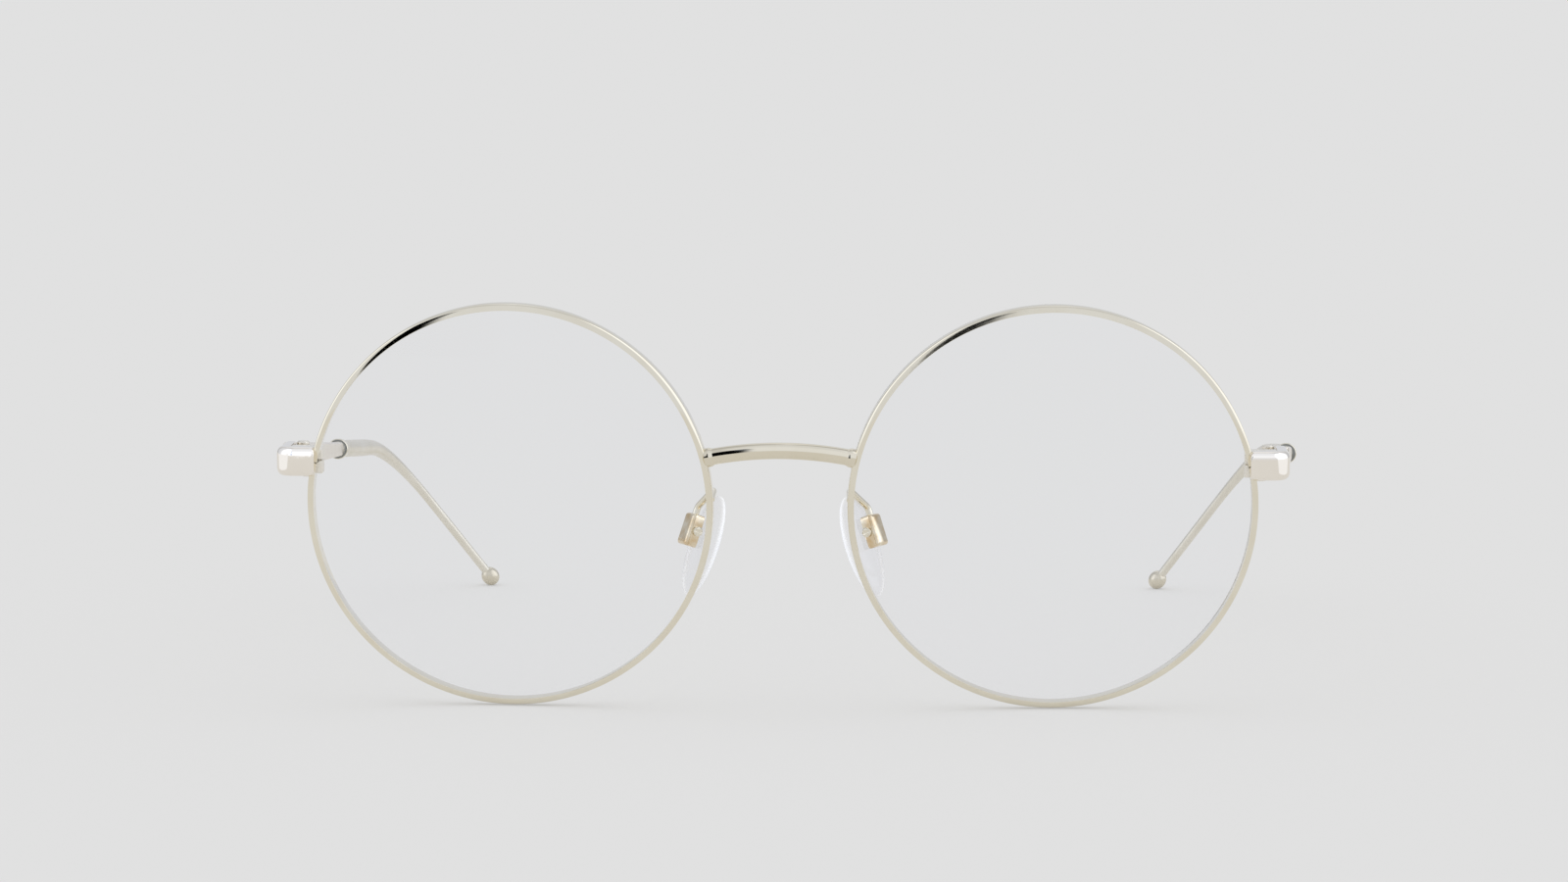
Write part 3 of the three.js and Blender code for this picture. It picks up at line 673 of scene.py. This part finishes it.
def pad_box():
    """A small box, rounded at the back. On the pad's side one face of its border is sunk.

    The border's faces come in no fixed order, so which one is sunk varies from run to run.
    """
    near, far = -box_half, box_half
    outline = [(box_front, near), (box_back, near), (box_back, far), (box_front, far)]
    bm = prism(outline, box_foot, box_top)
    back_edges = [e for e in bm.edges if max(v.co.x for v in e.verts) > box_middle]
    round_edges(bm, back_edges, BOX_ROUND)
    pad_side = min(bm.faces, key=lambda f: f.calc_center_median().x)
    border = bmesh.ops.inset_individual(bm, faces=[pad_side], thickness=BOX_WALL)["faces"]
    for vert in border[0].verts:
        over = math.copysign(BOX_CAVITY_HEIGHT / 2, vert.co.z - pad_pivot.z)
        vert.co.y = math.copysign(cavity_half, vert.co.y)
        vert.co.z = pad_pivot.z + over
    sunk = bmesh.ops.extrude_discrete_faces(bm, faces=[border[0]])["faces"][0]
    cavity_depth = box_back - BOX_WALL - box_front
    bmesh.ops.translate(bm, verts=list(sunk.verts), vec=(cavity_depth, 0, 0))
    return moved(finished(bm), pad_place)


# Materials. A tone or tint is a colour, and a noise is its scale, per metre, and its detail
NOISE_MIDDLE = (0.3, 0.7)  # the range that most of a noise lies in
MIX_FACTOR, MIX_FIRST, MIX_SECOND, MIX_RESULT = 0, 6, 7, 2  # places of a colour mix's sockets
PATINA_SCALE, PATINA_DETAIL = 260, 3
BOX_PATINA_SCALE = 620
HAZE = (1400, 4)
GRAIN = (5200, 2)
GRAIN_STRENGTH = 0.04
GRAIN_DEPTH = 0.02
POLISHED = (0.02, 0.07)
CHAMPAGNE = (0.865, 0.815, 0.685), (0.83, 0.77, 0.63)
PALE = (0.935, 0.88, 0.79), (0.91, 0.85, 0.76)
SATIN = (0.92, 0.88, 0.79), (0.88, 0.83, 0.73)
WIRE_TONES = (0.875, 0.835, 0.74), (0.825, 0.78, 0.67)
BALL_TONES = (0.79, 0.735, 0.61), (0.73, 0.67, 0.54)
BOX_TONES = (0.9, 0.83, 0.67), (0.7, 0.52, 0.3)
BRIDGE_TONES = (0.79, 0.726, 0.585), (0.76, 0.694, 0.545)
# Painted shade: a dark tone on the collars' forward-facing front, for the shade in the gap there
PAINTED_SHADE_TONE = (0.24, 0.24, 0.22)
SHADE_FACING = (-0.85, -0.97)  # how far a face looks forwards where the painted shade begins and is full
LEFT_RIM_TURN = 6.1  # how much more towards the nose the rim's polish faces
RIGHT_RIM_TURN = 4.9
LENS_TINTS = (0.984, 0.99, 0.997), (0.986, 0.988, 1.0)
LENS_SHIMMER = (45, 2)
LENS_COAT = 0.12
PAD_TINTS = (0.985, 0.985, 0.99), (0.965, 0.965, 0.98)
STEM_TINTS = (0.95, 0.95, 0.94), (0.9, 0.9, 0.89)
PAD_MOTTLE, STEM_MOTTLE, MOTTLE_DETAIL = 220, 600, 2
SKIN_GLOSS = 0.5
SKIN_ROUGHNESS = (0.02, 0.07)
SKIN_FINENESS, SKIN_DETAIL = 4, 3  # the skin's noise, so many times finer than the mottle
MILK = 0.85  # how milky a pad's edge is
EDGE_MILKY, EDGE_CLEAR = 0.25, 0.8  # how far the surface faces along the pad's flat direction there


def new_material(name):
    material = bpy.data.materials.new(name)
    material.use_nodes = True
    tree = material.node_tree
    return material, tree, tree.nodes["Principled BSDF"]


def feed(tree, node, values):
    """Sets a node's inputs to values, or links them to other nodes' outputs."""
    for key, value in values.items():
        if isinstance(value, bpy.types.NodeSocket):
            tree.links.new(value, node.inputs[key])
        else:
            node.inputs[key].default_value = value


def add(tree, kind, values=None, **settings):
    node = tree.nodes.new(kind)
    for key, value in settings.items():
        setattr(node, key, value)
    feed(tree, node, values or {})
    return node


def calculate(tree, operation, *values):
    return add(tree, "ShaderNodeMath", dict(enumerate(values)), operation=operation).outputs[0]


def noise(tree, where, scale, detail):
    values = {"Vector": where, "Scale": scale, "Detail": detail}
    return add(tree, "ShaderNodeTexNoise", values).outputs["Fac"]


def mapped(tree, source, start, end, low=0, high=1):
    """The source's range from start to end carried to the range from low to high."""
    values = {"Value": source, "From Min": start, "From Max": end, "To Min": low, "To Max": high}
    return add(tree, "ShaderNodeMapRange", values).outputs["Result"]


def spread(tree, source, low, high):
    return mapped(tree, source, *NOISE_MIDDLE, low, high)


def mixed(tree, factor, first, second):
    values = {MIX_FACTOR: factor, MIX_FIRST: first, MIX_SECOND: second}
    return add(tree, "ShaderNodeMix", values, data_type="RGBA").outputs[MIX_RESULT]


def patched(tree, where, tones, scale, detail):
    """Two tones in soft patches."""
    first, second = tones
    patches = spread(tree, noise(tree, where, scale, detail), 0, 1)
    return mixed(tree, patches, first + (1,), second + (1,))


def gold_material(name, tones, roughness, patina=PATINA_SCALE, painted_shade_front=False, turn=0):
    """Plated metal. A flat front may get painted shade, and the grain may face a little aside."""
    material, tree, shader = new_material(name)
    coordinates = add(tree, "ShaderNodeTexCoord")
    where = coordinates.outputs["Object"]
    colour = patched(tree, where, tones, patina, PATINA_DETAIL)
    # Painted shade: faces that look forwards are darkened towards a dark tone
    if painted_shade_front:
        facing = add(tree, "ShaderNodeSeparateXYZ", {0: coordinates.outputs["Normal"]})
        shade_mask = mapped(tree, facing.outputs[1], *SHADE_FACING)
        colour = mixed(tree, shade_mask, colour, PAINTED_SHADE_TONE + (1,))
    grain = {
        "Strength": GRAIN_STRENGTH,
        "Distance": GRAIN_DEPTH * MM,
        "Height": noise(tree, where, *GRAIN),
    }
    if turn:
        normal = add(tree, "ShaderNodeNewGeometry").outputs["Normal"]
        turning = {"Vector": normal, "Angle": radians(turn)}
        aside = add(tree, "ShaderNodeVectorRotate", turning, rotation_type="Z_AXIS")
        grain["Normal"] = aside.outputs[0]
    surface = {
        "Base Color": colour,
        "Metallic": 1,
        "Roughness": spread(tree, noise(tree, where, *HAZE), *roughness),
        "Normal": add(tree, "ShaderNodeBump", grain).outputs["Normal"],
    }
    feed(tree, shader, surface)
    return material


def lens_material():
    """Clear and coated, with tints that shimmer a little."""
    material, tree, shader = new_material("coated_lens")
    where = add(tree, "ShaderNodeTexCoord").outputs["Object"]
    surface = {
        "Base Color": patched(tree, where, LENS_TINTS, *LENS_SHIMMER),
        "Roughness": 0,
        "IOR": 1,
        "Transmission Weight": 1,
        "Coat Weight": LENS_COAT,
        "Coat Roughness": 0,
    }
    feed(tree, shader, surface)
    return material


def clear_material(name, tints, mottle, flat=None):
    """A clear material with a faint mottle and a glossy skin, milky where it turns away from flat."""
    material, tree, shader = new_material(name)
    coordinates = add(tree, "ShaderNodeTexCoord")
    where = coordinates.outputs["Object"]
    clearness = 1
    if flat:
        normals = {0: coordinates.outputs["Normal"], 1: flat}
        along = add(tree, "ShaderNodeVectorMath", normals, operation="DOT_PRODUCT")
        either_way = calculate(tree, "ABSOLUTE", along.outputs["Value"])
        clearness = mapped(tree, either_way, EDGE_MILKY, EDGE_CLEAR, 1 - MILK, 1)
    skin = noise(tree, where, SKIN_FINENESS * mottle, SKIN_DETAIL)
    surface = {
        "Base Color": patched(tree, where, tints, mottle, MOTTLE_DETAIL),
        "Roughness": 0,
        "IOR": 1,
        "Transmission Weight": clearness,
        "Coat Weight": SKIN_GLOSS,
        "Coat Roughness": spread(tree, skin, *SKIN_ROUGHNESS),
    }
    feed(tree, shader, surface)
    return material


gold = gold_material("champagne_gold", CHAMPAGNE, POLISHED)
# The collars get painted shade on their forward-facing front
collar_gold = gold_material("collar_gold", CHAMPAGNE, roughness=(0.05, 0.13), painted_shade_front=True)
wire_gold = gold_material("wire_gold", WIRE_TONES, roughness=(0.34, 0.42))
blade_gold = gold_material("blade_gold", PALE, roughness=(0.34, 0.38))
ball_gold = gold_material("ball_gold", BALL_TONES, roughness=(0.26, 0.38))
satin_gold = gold_material("satin_gold", SATIN, roughness=(0.28, 0.42))
box_gold = gold_material("warm_gold", BOX_TONES, roughness=(0.03, 0.09), patina=BOX_PATINA_SCALE)
bridge_gold = gold_material("bridge_gold", BRIDGE_TONES, roughness=(0.01, 0.05))
block_gold = gold_material("pale_gold", PALE, roughness=(0.05, 0.11))
rim_gold = {
    "left": gold_material("left_rim_gold", CHAMPAGNE, POLISHED, turn=LEFT_RIM_TURN),
    "right": gold_material("right_rim_gold", CHAMPAGNE, roughness=(0.1, 0.15), turn=-RIGHT_RIM_TURN),
}
lens_clear = lens_material()
left_pad_flat = (-pad_flat.x, pad_flat.y, pad_flat.z)
silicone = {
    "left": clear_material("left_silicone", PAD_TINTS, PAD_MOTTLE, left_pad_flat),
    "right": clear_material("right_silicone", PAD_TINTS, PAD_MOTTLE, tuple(pad_flat)),
}
stem_plastic = clear_material("stem_plastic", STEM_TINTS, STEM_MOTTLE)

# Pieces over the frame
SHARP = 40  # edges that turn by more are drawn sharp


def add_piece(name, mesh, body, node, material):
    points, faces = mesh
    data = bpy.data.meshes.new(name)
    data.from_pydata([(to_row @ p) * MM for p in points], [], faces)
    data.validate()
    bm = bmesh.new()
    bm.from_mesh(data)
    bmesh.ops.recalc_face_normals(bm, faces=bm.faces)
    bm.to_mesh(data)
    bm.free()
    data.shade_smooth()
    data.set_sharp_from_angle(angle=radians(SHARP))
    data.materials.append(material)
    piece = bpy.data.objects.new(name, data)
    bpy.context.scene.collection.objects.link(piece)
    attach(piece, body)
    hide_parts(node)
    return piece


add_piece("bridge_bar", bridge(), "front", "bridge", bridge_gold)

# (new piece, maker, body or its ending, node's ending, slot, material)
REBUILT = [
    ("rim_ring", rim, "front", "rim", "gold", rim_gold),
    ("clear_lens", lens, "front", "lens", "lens", lens_clear),
    ("endpiece_block", endpiece, "front", "endpiece", "gold", block_gold),
    ("pad_arm_wire", pad_arm, "front", "pad_arm", "gold", gold),
    ("pad_box_shell", pad_box, "front", "pad_box", "gold", box_gold),
    ("temple_blade", temple_bar, "temple", "temple_bar", "gold", blade_gold),
    ("collar_ring", collar, "temple", "temple_collar", "gold", collar_gold),
    ("ear_hook", ear_wire, "temple", "ear_wire", "gold", wire_gold),
    ("ball_tip", end_ball, "temple", "end_ball", "gold", ball_gold),
    ("soft_pad", nose_pad, "pad", "nose_pad", "silicone", silicone),
]
for name, maker, body, node, slot, material in REBUILT:
    right = maker()
    for side, mesh in (("right", right), ("left", mirrored(right))):
        rides = body if body == "front" else f"{side}_{body}"
        surface = material[side] if isinstance(material, dict) else material
        piece = add_piece(f"{side}_{name}", mesh, rides, f"{side}_{node}", surface)
        if slot in ("silicone", "lens"):
            piece.visible_diffuse = False

# Small hardware keeps its solid, with softened edges: (material, width of its edges)
KEPT = {
    "upper_rim_lock": (satin_gold, 0.12),
    "lower_rim_lock": (satin_gold, 0.12),
    "rim_screw": (satin_gold, 0.05),
    "front_hinge_leaf": (satin_gold, 0.07),
    "temple_hinge_leaf": (satin_gold, 0.07),
    "hinge_screw": (satin_gold, 0.05),
    "pad_screw": (gold, 0.04),
    "pad_stem": (stem_plastic, 0.06),
}
KEPT_WELD = 0.002
KEPT_EDGE_STEPS = 3

for ending, (material, edge) in KEPT.items():
    for side in SIDES:
        node = frame["nodes"][f"{side}_{ending}"]
        node.data.materials.clear()
        node.data.materials.append(material)
        weld = node.modifiers.new("weld", "WELD")
        weld.merge_threshold = KEPT_WELD * MM
        bevel = node.modifiers.new("soft_edges", "BEVEL")
        bevel.width = edge * MM
        bevel.segments = KEPT_EDGE_STEPS
        bevel.limit_method = "ANGLE"
        bevel.angle_limit = radians(SHARP)
        node.data.shade_smooth()

# Stage: a pale floor under an even sky
BACKGROUND = 0.752
FLOOR_HALF = 12000
FLOOR_GLOW = 0.4  # share of the floor's brightness that no shade takes away


def floor_material():
    material, tree, shader = new_material("pale_floor")
    matt = {
        "Base Color": (BACKGROUND, BACKGROUND, BACKGROUND, 1),
        "Roughness": 1,
        "Specular IOR Level": 0,
    }
    feed(tree, shader, matt)
    ray = add(tree, "ShaderNodeLightPath").outputs
    in_shine = calculate(tree, "MAXIMUM", ray["Is Glossy Ray"], ray["Is Transmission Ray"])
    seen = calculate(tree, "MAXIMUM", ray["Is Camera Ray"], in_shine)
    glow = add(tree, "ShaderNodeEmission", {"Strength": BACKGROUND})
    layers = {
        0: calculate(tree, "MULTIPLY", seen, FLOOR_GLOW),
        1: shader.outputs[0],
        2: glow.outputs[0],
    }
    surface = add(tree, "ShaderNodeMixShader", layers)
    feed(tree, tree.nodes["Material Output"], {"Surface": surface.outputs[0]})
    return material


floor_data = bpy.data.meshes.new("floor")
reach = FLOOR_HALF * MM
floor_corners = [(-reach, -reach, 0), (reach, -reach, 0), (reach, reach, 0), (-reach, reach, 0)]
floor_data.from_pydata(floor_corners, [], [(0, 1, 2, 3)])
floor_data.materials.append(floor_material())
floor = bpy.data.objects.new("floor", floor_data)
bpy.context.scene.collection.objects.link(floor)

# Studio: walls, lights and a dark flag that only shine and clear pieces see.
# Bearings are 0 in front of the glasses and grow to the viewer's right.
WALL, CEILING, FAR_SIDES, BACK_WALL, LOW_BACK, SIDE_LIGHT = 0.8, 0.7, 0.55, 0.88, 0.7, 1.25
CEILING_RISE = (40, 62)  # heights at which the ceiling begins and is full
FAR_SIDES_TURN = (92, 110)  # bearings, to both sides
BACK_TURN = (148, 162)
LOW_BACK_RISE = (38, 30)
LEFT_LIGHT = {"left": -88, "right": -54, "low": 2, "high": 52}
RIGHT_LIGHT = {"left": 45, "right": 118, "low": 2, "high": 62}
LIGHT_SOFT = 3
FLAG_LEFT, FLAG_RIGHT = -0.465, -0.265  # sideways share of the direction
FLAG_SOFT, FLAG_RIGHT_SOFT = 0.015, 0.075
FLAG_LOW, FLAG_HIGH, FLAG_RISE_SOFT = -3, 38, 1
FLAG_TURN = (92, 88)  # bearings to both sides, because the flag is in front
NO_BOUNCE = 0.5  # a count of bounces below this is none
DAYLIGHT = 1.0
SHINE_TINT = (0.97, 1.0, 1.07)

world = bpy.data.worlds.new("studio")
bpy.context.scene.world = world
world.use_nodes = True
world.cycles.sampling_method = "NONE"
sky = world.node_tree


def ramp(value, start, end):
    """0 at start and 1 at end, smooth between; end may be below start."""
    values = {"Value": value, "From Min": start, "From Max": end}
    return add(sky, "ShaderNodeMapRange", values, interpolation_type="SMOOTHSTEP").outputs["Result"]


def angle_ramp(value, start, end):
    return ramp(value, radians(start), radians(end))


def product(*values):
    result = values[0]
    for value in values[1:]:
        result = calculate(sky, "MULTIPLY", result, value)
    return result


def without(factor):
    return calculate(sky, "SUBTRACT", 1, factor)


def choose(factor, off, on):
    return calculate(sky, "ADD", product(without(factor), off), product(factor, on))


ray = add(sky, "ShaderNodeLightPath").outputs
direction = add(sky, "ShaderNodeTexCoord").outputs["Generated"]
sideways, onwards, upwards = add(sky, "ShaderNodeSeparateXYZ", {0: direction}).outputs
bearing = calculate(sky, "ARCTAN2", sideways, calculate(sky, "MULTIPLY", onwards, -1))
either_bearing = calculate(sky, "ABSOLUTE", bearing)
rise = calculate(sky, "ARCSINE", upwards)


def studio_light(left, right, low, high):
    """A soft-edged light between two bearings and two heights."""
    return product(
        angle_ramp(bearing, left - LIGHT_SOFT, left + LIGHT_SOFT),
        angle_ramp(bearing, right + LIGHT_SOFT, right - LIGHT_SOFT),
        angle_ramp(rise, low - LIGHT_SOFT, low + LIGHT_SOFT),
        angle_ramp(rise, high + LIGHT_SOFT, high - LIGHT_SOFT),
    )


front_walls = choose(angle_ramp(rise, *CEILING_RISE), WALL, CEILING)
behind = angle_ramp(either_bearing, *BACK_TURN)
before_back = angle_ramp(either_bearing, *reversed(BACK_TURN))
far_sides = product(angle_ramp(either_bearing, *FAR_SIDES_TURN), before_back)
back_wall = choose(angle_ramp(rise, *LOW_BACK_RISE), BACK_WALL, LOW_BACK)
walls = choose(behind, choose(far_sides, front_walls, FAR_SIDES), back_wall)
side_lights = calculate(sky, "ADD", studio_light(**LEFT_LIGHT), studio_light(**RIGHT_LIGHT))
dark_flag = product(
    ramp(sideways, FLAG_LEFT - FLAG_SOFT, FLAG_LEFT + FLAG_SOFT),
    ramp(sideways, FLAG_RIGHT + FLAG_RIGHT_SOFT, FLAG_RIGHT - FLAG_SOFT),
    angle_ramp(rise, FLAG_LOW - FLAG_RISE_SOFT, FLAG_LOW + FLAG_RISE_SOFT),
    angle_ramp(rise, FLAG_HIGH + FLAG_RISE_SOFT, FLAG_HIGH - FLAG_RISE_SOFT),
    angle_ramp(either_bearing, *FLAG_TURN),
)
not_through_glass = calculate(sky, "LESS_THAN", ray["Transmission Depth"], NO_BOUNCE)
lit_walls = choose(side_lights, walls, SIDE_LIGHT)
studio = product(lit_walls, without(product(dark_flag, not_through_glass)))
shiny = product(
    calculate(sky, "MAXIMUM", ray["Is Glossy Ray"], ray["Is Transmission Ray"]),
    calculate(sky, "LESS_THAN", ray["Diffuse Depth"], NO_BOUNCE),
)
reflected = product(shiny, ray["Is Glossy Ray"])
backdrop = {
    "Color": mixed(sky, reflected, (1, 1, 1, 1), SHINE_TINT + (1,)),
    "Strength": choose(ray["Is Camera Ray"], choose(shiny, DAYLIGHT, studio), BACKGROUND),
}
feed(sky, sky.nodes["Background"], backdrop)

# Small panels of light that only the named pieces see
PANEL_TINT = (0.86, 0.97, 1.22)
PANEL_POWER = 4  # watts for each square metre at a glow of 1
JEWELS = ("endpiece_block", "pad_box_shell", "pad_arm_wire")
OVER_END = {"turn": 15, "height": 53, "size": 90, "distance": 62, "shape": "SQUARE", "glow": 0.2}
BESIDE_END = {"turn": 82, "height": 26, "size": 132, "distance": 60, "shape": "DISK", "glow": 0.15}
AT_PAD = {"turn": -50, "height": -5, "size": 120, "distance": 120, "shape": "SQUARE", "glow": 1.2}
AT_LEFT_END = {"turn": 22, "height": 18, "size": 40, "distance": 60, "shape": "SQUARE", "glow": 0.75}
AT_BRIDGE = {"turn": 22, "height": 42, "size": 190, "distance": 120, "shape": "SQUARE", "glow": 0.13}


def light_panel(target, hand, lit, turn, height, size, distance, shape, glow, matt=False):
    """A panel that faces a target, given on the right-hand side (hand 1) and mirrored (hand -1).

    It lights only the shine of the pieces, or only their matt surface.
    """
    facing = heading(hand * turn, height)
    spot = to_row @ target
    spot.x *= hand
    data = bpy.data.lights.new("panel", "AREA")
    data.shape = shape
    data.size = size * MM
    data.color = PANEL_TINT
    data.energy = glow * PANEL_POWER * data.size**2
    lamp = bpy.data.objects.new("panel", data)
    bpy.context.scene.collection.objects.link(lamp)
    lamp.location = (spot - facing * distance) * MM
    lamp.rotation_mode = "QUATERNION"
    lamp.rotation_quaternion = facing.to_track_quat("-Z", "Y")
    lamp.visible_camera = False
    lamp.visible_diffuse = matt
    lamp.visible_glossy = not matt
    lamp.light_linking.receiver_collection = bpy.data.collections.new("panel_lit")
    for name in lit:
        lamp.light_linking.receiver_collection.objects.link(bpy.data.objects[name])


endpiece_middle = Vector(((endpiece_inner + endpiece_outer) / 2, endpiece_front, endpiece_z))
bridge_middle = Vector((0, 0, lens_centre.z + BRIDGE_RISE))
all_jewels = [f"{side}_{piece}" for side in SIDES for piece in JEWELS]
for side, hand in zip(SIDES, (-1, 1)):
    light_panel(endpiece_middle, hand, all_jewels, **OVER_END)
    light_panel(endpiece_middle, hand, all_jewels, **BESIDE_END)
    light_panel(pad_centre, hand, [f"{side}_soft_pad"], **AT_PAD, matt=True)
light_panel(endpiece_middle, -1, ["left_endpiece_block"], **AT_LEFT_END)
light_panel(bridge_middle, 1, ["bridge_bar"], **AT_BRIDGE)

# Camera, fitted to the photograph
CAMERA_PLACE = Vector((38.099, -864.013, 111.867))
CAMERA_YAW = -2.699
CAMERA_PITCH = 5.528
CAMERA_LENS = 145.59
SENSOR_WIDTH = 36
CLIP_START, CLIP_END = 10, 100000

camera_data = bpy.data.cameras.new("camera")
camera_data.sensor_width = SENSOR_WIDTH
camera_data.lens = CAMERA_LENS
camera_data.clip_start = CLIP_START * MM
camera_data.clip_end = CLIP_END * MM
camera = bpy.data.objects.new("camera", camera_data)
bpy.context.scene.collection.objects.link(camera)
camera.location = CAMERA_PLACE * MM
camera.rotation_mode = "QUATERNION"
camera.rotation_quaternion = heading(-CAMERA_YAW, CAMERA_PITCH).to_track_quat("-Z", "Y")
bpy.context.scene.camera = camera
bpy.context.scene.view_settings.view_transform = "Standard"

bpy.context.view_layer.update()
